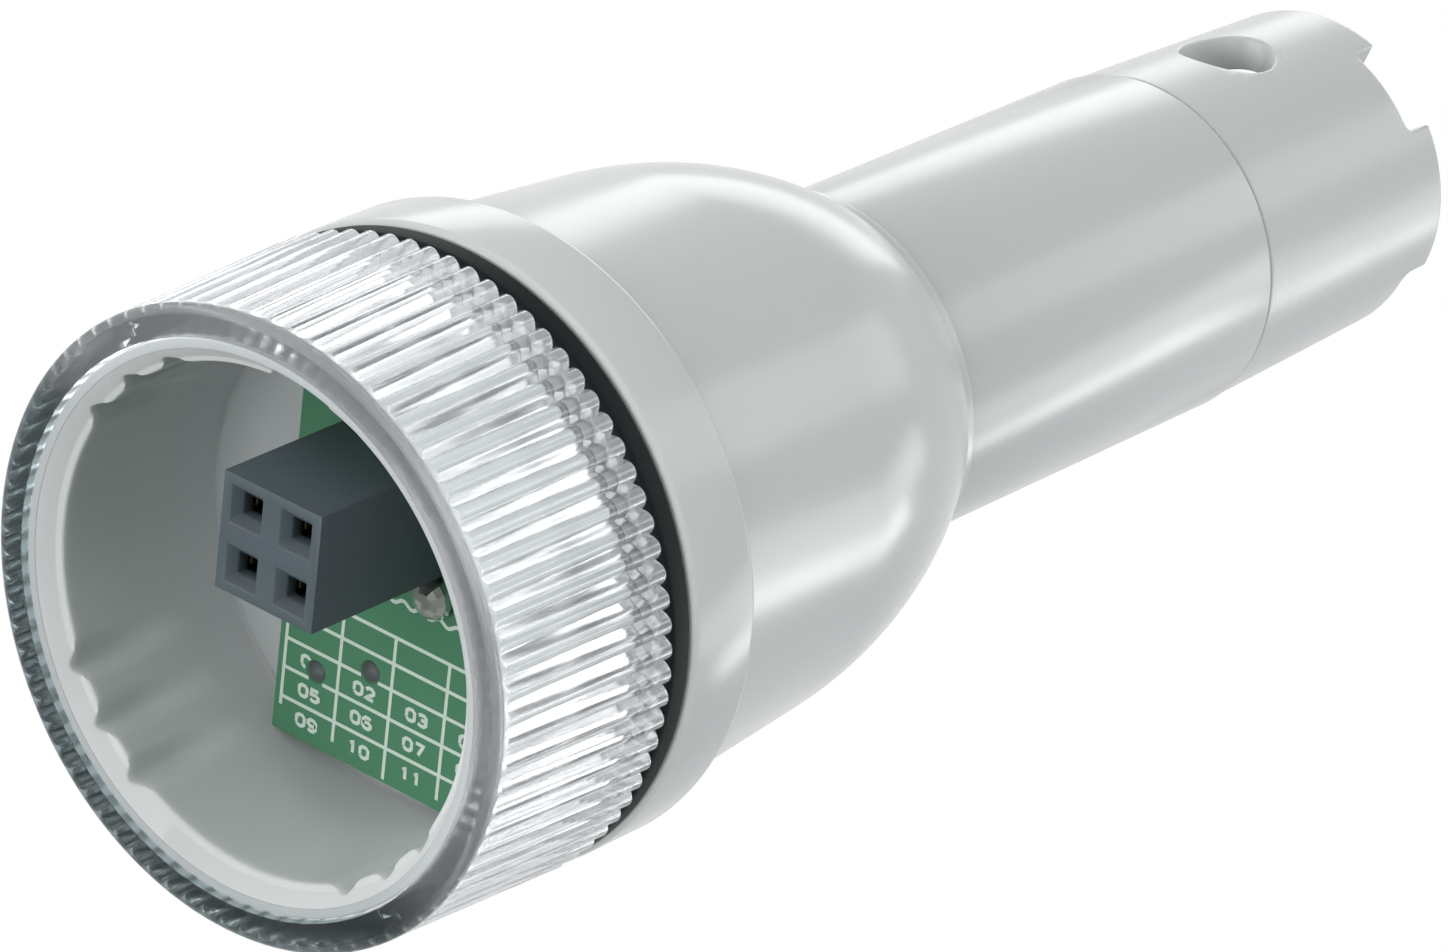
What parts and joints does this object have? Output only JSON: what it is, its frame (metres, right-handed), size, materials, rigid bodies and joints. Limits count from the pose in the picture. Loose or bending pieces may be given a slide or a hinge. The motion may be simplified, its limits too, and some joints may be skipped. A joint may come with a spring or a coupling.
{
  "type": "electrode",
  "caption": "Plug-in pH electrode for a pen meter: guarded glass bulb on a grey stem and bell, circuit board with socket, and a clear ribbed coupling ring.",
  "frame": {"origin": "centre of the coupling ring's front face, on the electrode's axis", "axes": "+Z along the axis from the socket end to the sensing tip; +X and +Y along the two rows of the socket header, which lies towards -Y"},
  "size_m": [0.0268, 0.0268, 0.0696],
  "materials": {
    "clear_plastic": "clear, polished",
    "black_rubber": "matte",
    "grey_plastic": "satin",
    "grey_epoxy": "matte",
    "clear_glass": "clear",
    "silver": "satin",
    "ceramic": "porous",
    "stainless": "satin",
    "green_board": "solder mask",
    "header_plastic": "moulded",
    "contact_metal": "gold plated",
    "solder": "satin",
    "white_lead": "satin",
    "black_lead": "satin",
    "red_lead": "satin",
    "yellow_lead": "satin"
  },
  "bodies": {
    "electrode_body": {"circuit_board": "green_board", "contact_1": "contact_metal", "contact_2": "contact_metal", "contact_3": "contact_metal", "contact_4": "contact_metal", "front_seal": "grey_epoxy", "gasket": "black_rubber", "glass_electrode": "clear_glass", "glass_inner_wire": "silver", "guard": "grey_plastic", "housing": "grey_plastic", "lead_wire_1": "white_lead", "lead_wire_2": "black_lead", "lead_wire_3": "red_lead", "lead_wire_4": "yellow_lead", "o_ring_1": "black_rubber", "o_ring_2": "black_rubber", "pin_solder_1": "solder", "pin_solder_2": "solder", "pin_solder_3": "solder", "pin_solder_4": "solder", "potting": "grey_epoxy", "rear_plug": "black_rubber", "reference_junction": "ceramic", "reference_wire": "silver", "socket_header": "header_plastic", "stem_tube": "grey_plastic", "thermistor": "stainless", "wire_solder_1": "solder", "wire_solder_2": "solder", "wire_solder_3": "solder", "wire_solder_4": "solder"},
    "ring": {"coupling_ring": "clear_plastic"}
  },
  "joints": [
    {"name": "ring_turn", "type": "hinge", "parent": "electrode_body", "child": "ring", "pos_m": [0, 0, 0.0049], "axis": [0, 0, 1], "continuous": true}
  ]
}
